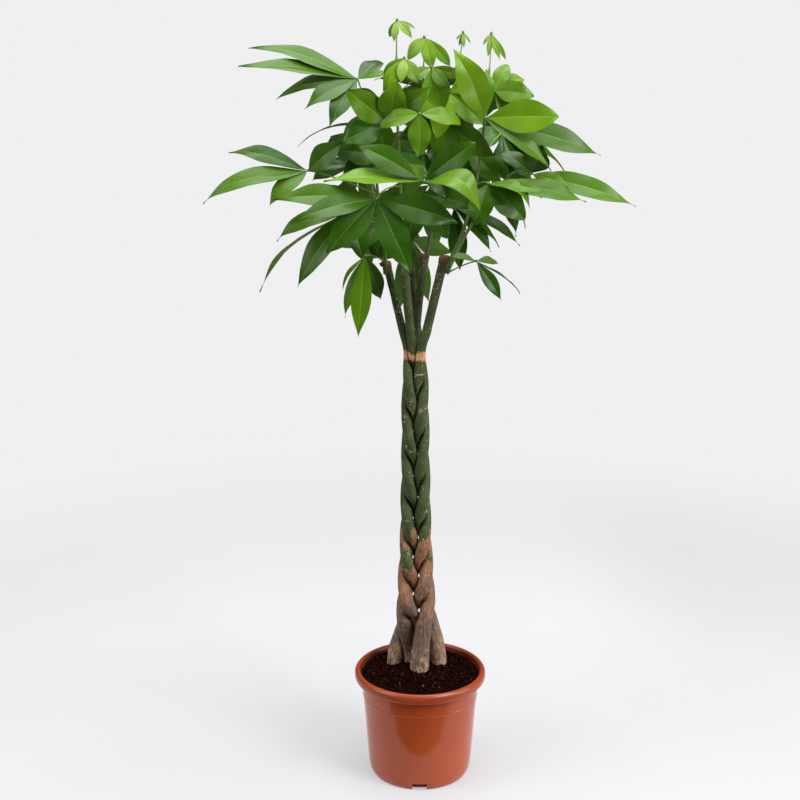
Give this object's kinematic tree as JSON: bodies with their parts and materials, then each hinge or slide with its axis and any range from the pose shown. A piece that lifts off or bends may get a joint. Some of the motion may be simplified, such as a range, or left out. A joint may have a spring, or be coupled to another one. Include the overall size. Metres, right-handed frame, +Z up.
{
  "type": "potted money tree",
  "caption": "Money tree with slim stems plaited into one trunk, standing in soil in a round terracotta-coloured plastic pot, under a spreading crown of hand-shaped leaves.",
  "frame": {"origin": "middle of the pot's flat underside, on the surface that the pot stands on", "axes": "+Z up along the trunk, +X to the right and +Y away as the tree is seen from the front"},
  "size_m": [0.7214, 0.4981, 1.3822],
  "materials": {
    "pot": "semi-gloss moulded plastic, terracotta red-brown",
    "soil": "dark crumbly potting mix",
    "bark": "green bark with tan scars, brown and grooved near the soil",
    "leaf": "waxy dark green leaf",
    "young_leaf": "soft bright green young leaf"
  },
  "bodies": {
    "root": {"pot": "pot", "soil": "soil", "stem_back": "bark", "stem_front": "bark", "stem_left": "bark", "stem_middle": "bark", "stem_right": "bark", "bud_leaf_far_right": "young_leaf", "bud_leaf_left": "young_leaf", "bud_leaf_middle": "young_leaf", "bud_leaf_right": "young_leaf", "leaf_back_left": "leaf", "leaf_back_low": "leaf", "leaf_back_low_left": "leaf", "leaf_back_middle": "leaf", "leaf_back_right": "leaf", "leaf_back_top": "leaf", "leaf_back_top_left": "leaf", "leaf_back_top_right": "leaf", "leaf_behind_stems": "leaf", "leaf_far_right": "leaf", "leaf_front": "leaf", "leaf_front_left": "leaf", "leaf_front_right": "leaf", "leaf_hanging": "leaf", "leaf_high_left": "leaf", "leaf_high_right": "leaf", "leaf_inner_left": "leaf", "leaf_inner_low": "leaf", "leaf_inner_middle": "leaf", "leaf_inner_right": "leaf", "leaf_inner_top": "leaf", "leaf_left": "leaf", "leaf_low_left": "leaf", "leaf_low_middle": "leaf", "leaf_low_right": "leaf", "leaf_olive": "leaf", "leaf_pendant": "leaf", "leaf_right": "leaf", "leaf_top_left": "leaf", "leaf_top_right": "leaf", "leaf_under_right": "leaf", "young_leaf_bright": "young_leaf", "young_leaf_drooping": "young_leaf", "young_leaf_narrow": "young_leaf"}
  },
  "joints": []
}
